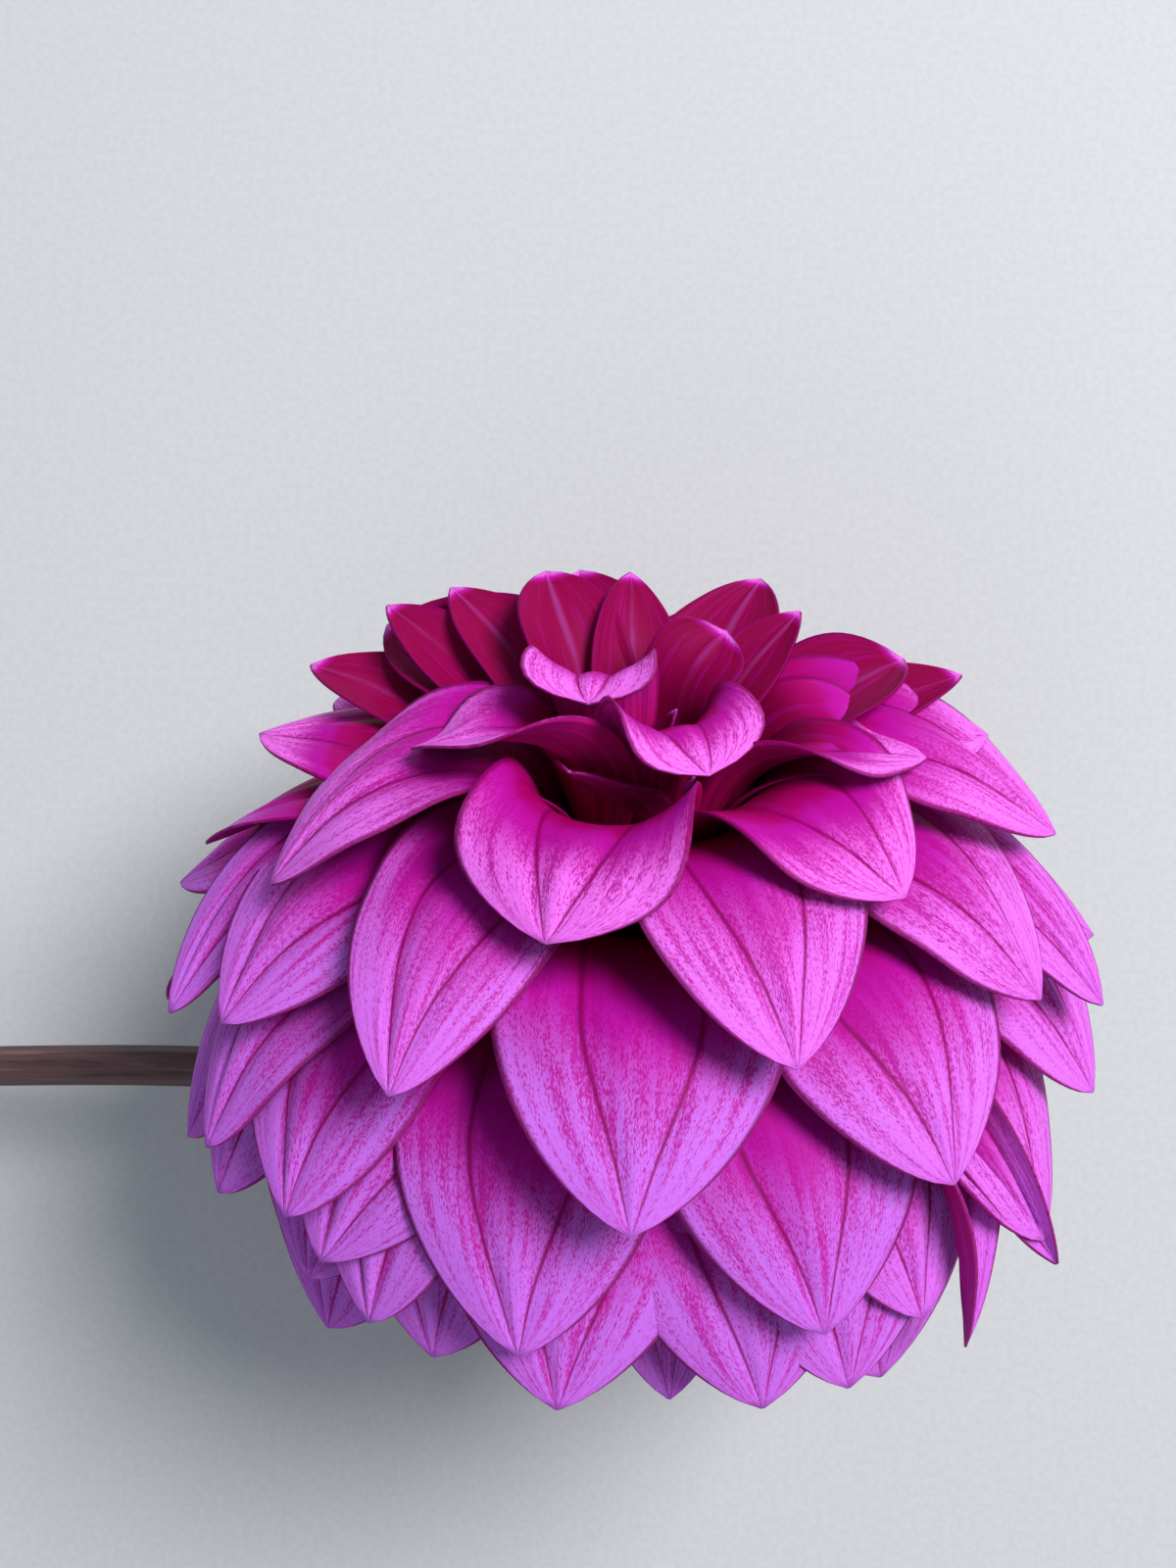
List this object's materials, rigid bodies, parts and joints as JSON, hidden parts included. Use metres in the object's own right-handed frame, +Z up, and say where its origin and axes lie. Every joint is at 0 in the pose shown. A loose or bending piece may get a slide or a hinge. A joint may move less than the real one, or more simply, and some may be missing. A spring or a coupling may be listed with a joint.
{
  "type": "dahlia flower",
  "caption": "Cut dahlia of the fully double, ball-like kind, magenta and lilac, lying on its stem.",
  "frame": {"origin": "centre of the bounding box's bottom face, on the surface that the flower lies on", "axes": "+Z up from that surface; the stem runs towards -X; the bloom faces up and towards +Y"},
  "size_m": [0.262, 0.1082, 0.1145],
  "materials": {
    "petal": "satin",
    "stem": "satin",
    "green": "matte",
    "bud": "satin"
  },
  "bodies": {
    "root": {"petal_01": "petal", "petal_02": "petal", "petal_03": "petal", "petal_04": "petal", "petal_05": "petal", "petal_06": "petal", "petal_07": "petal", "petal_08": "petal", "petal_09": "petal", "petal_10": "petal", "petal_11": "petal", "petal_12": "petal", "petal_13": "petal", "petal_14": "petal", "petal_15": "petal", "petal_16": "petal", "petal_17": "petal", "petal_18": "petal", "petal_19": "petal", "petal_20": "petal", "petal_21": "petal", "petal_22": "petal", "petal_23": "petal", "petal_24": "petal", "petal_25": "petal", "petal_26": "petal", "petal_27": "petal", "petal_28": "petal", "petal_29": "petal", "petal_30": "petal", "petal_31": "petal", "petal_32": "petal", "petal_33": "petal", "petal_34": "petal", "petal_35": "petal", "petal_36": "petal", "petal_37": "petal", "petal_38": "petal", "petal_39": "petal", "petal_40": "petal", "petal_41": "petal", "petal_42": "petal", "petal_43": "petal", "petal_44": "petal", "petal_45": "petal", "petal_46": "petal", "petal_47": "petal", "petal_48": "petal", "petal_49": "petal", "petal_50": "petal", "petal_51": "petal", "center_bud": "bud", "receptacle": "green", "inner_bract_cup": "green", "outer_bract_1": "green", "outer_bract_2": "green", "outer_bract_3": "green", "outer_bract_4": "green", "outer_bract_5": "green", "stem": "stem"}
  },
  "joints": []
}
